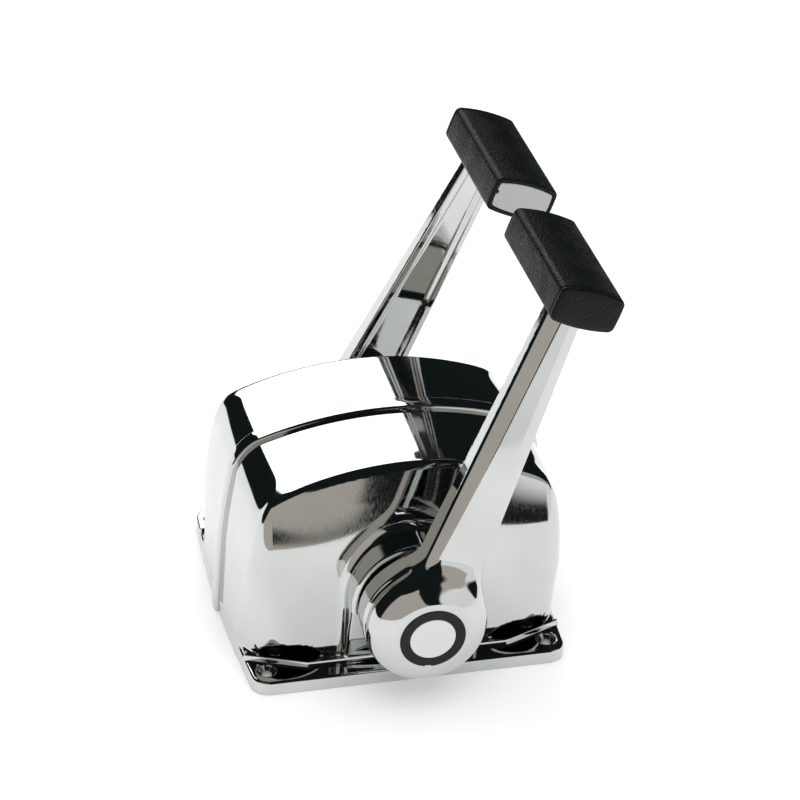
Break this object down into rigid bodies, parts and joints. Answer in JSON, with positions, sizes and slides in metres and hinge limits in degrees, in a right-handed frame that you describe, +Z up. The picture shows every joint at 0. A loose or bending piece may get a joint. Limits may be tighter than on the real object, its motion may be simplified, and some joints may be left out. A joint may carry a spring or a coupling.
{
  "type": "twin lever boat engine control",
  "caption": "Top-mounted boat throttle control with a domed chrome housing, side flanges, round hubs and tapered levers that carry black hand grips.",
  "frame": {"origin": "centre of the four mounting holes, on the face that meets the deck", "axes": "+X forward, the way both levers lean; +Y to port along the lever shafts; +Z up"},
  "size_m": [0.214, 0.2638, 0.2864],
  "materials": {
    "cast_chrome": "polished chrome plate over a casting",
    "black_rubber": "moulded, fine grain",
    "black_plastic": "moulded, smooth",
    "satin_disc": "satin",
    "grey_plastic": "moulded, smooth",
    "frame_alloy": "as cast",
    "shaft_steel": "ground",
    "screw_steel": "bright stainless",
    "bronze": "sintered"
  },
  "bodies": {
    "housing": {"base_frame": "frame_alloy", "centre_band": "cast_chrome", "cover_screws": "screw_steel", "clamp_screws": "screw_steel", "starboard_cover": "cast_chrome", "starboard_outer_bush": "bronze", "starboard_inner_bush": "bronze", "starboard_seal": "black_rubber", "starboard_cable_clamp": "frame_alloy", "starboard_plunger_sleeve": "screw_steel", "port_cover": "cast_chrome", "port_outer_bush": "bronze", "port_inner_bush": "bronze", "port_seal": "black_rubber", "port_cable_clamp": "frame_alloy", "port_plunger_sleeve": "screw_steel"},
    "starboard_lever": {"starboard_lever": "cast_chrome", "starboard_hub_ring": "black_plastic", "starboard_hub_disc": "satin_disc", "starboard_hub_bolt": "screw_steel", "starboard_hub_washer": "screw_steel", "starboard_key": "screw_steel", "starboard_shaft": "shaft_steel", "starboard_circlip": "screw_steel", "starboard_detent_disc": "shaft_steel", "starboard_crank_arm": "shaft_steel", "starboard_drive_keys": "screw_steel", "starboard_grip": "black_rubber", "starboard_grip_cap": "black_rubber", "starboard_grip_plate": "grey_plastic"},
    "starboard_barrel": {"starboard_cable_barrel": "bronze", "starboard_barrel_clip": "screw_steel"},
    "starboard_plunger": {"starboard_plunger": "shaft_steel"},
    "port_lever": {"port_lever": "cast_chrome", "port_hub_ring": "black_plastic", "port_hub_disc": "satin_disc", "port_hub_bolt": "screw_steel", "port_hub_washer": "screw_steel", "port_key": "screw_steel", "port_shaft": "shaft_steel", "port_circlip": "screw_steel", "port_detent_disc": "shaft_steel", "port_crank_arm": "shaft_steel", "port_drive_keys": "screw_steel", "port_grip": "black_rubber", "port_grip_cap": "black_rubber", "port_grip_plate": "grey_plastic"},
    "port_barrel": {"port_cable_barrel": "bronze", "port_barrel_clip": "screw_steel"},
    "port_plunger": {"port_plunger": "shaft_steel"}
  },
  "joints": [
    {"name": "starboard_lever_turn", "type": "hinge", "parent": "housing", "child": "starboard_lever", "pos_m": [0, -0.08, 0.058], "axis": [0, 1, 0], "range_deg": [-101.5, 58.5]},
    {"name": "starboard_barrel_swivel", "type": "hinge", "parent": "starboard_lever", "child": "starboard_barrel", "pos_m": [-0.04187, -0.0448, 0.07449], "axis": [0, 1, 0], "range_deg": [-60, 103]},
    {"name": "starboard_plunger_slide", "type": "slide", "parent": "housing", "child": "starboard_plunger", "axis": [0, 0, 1], "range_m": [0, 0.002], "stiffness_N_per_m": 1200, "springref_m": -0.003},
    {"name": "port_lever_turn", "type": "hinge", "parent": "housing", "child": "port_lever", "pos_m": [0, 0.08, 0.058], "axis": [0, 1, 0], "range_deg": [-101.5, 58.5]},
    {"name": "port_barrel_swivel", "type": "hinge", "parent": "port_lever", "child": "port_barrel", "pos_m": [-0.04187, 0.0448, 0.07449], "axis": [0, 1, 0], "range_deg": [-60, 103]},
    {"name": "port_plunger_slide", "type": "slide", "parent": "housing", "child": "port_plunger", "axis": [0, 0, 1], "range_m": [0, 0.002], "stiffness_N_per_m": 1200, "springref_m": -0.003}
  ],
  "couplings": [
    {"joint": "starboard_barrel_swivel", "follows": "starboard_lever_turn", "ratio": -1},
    {"joint": "port_barrel_swivel", "follows": "port_lever_turn", "ratio": -1}
  ]
}
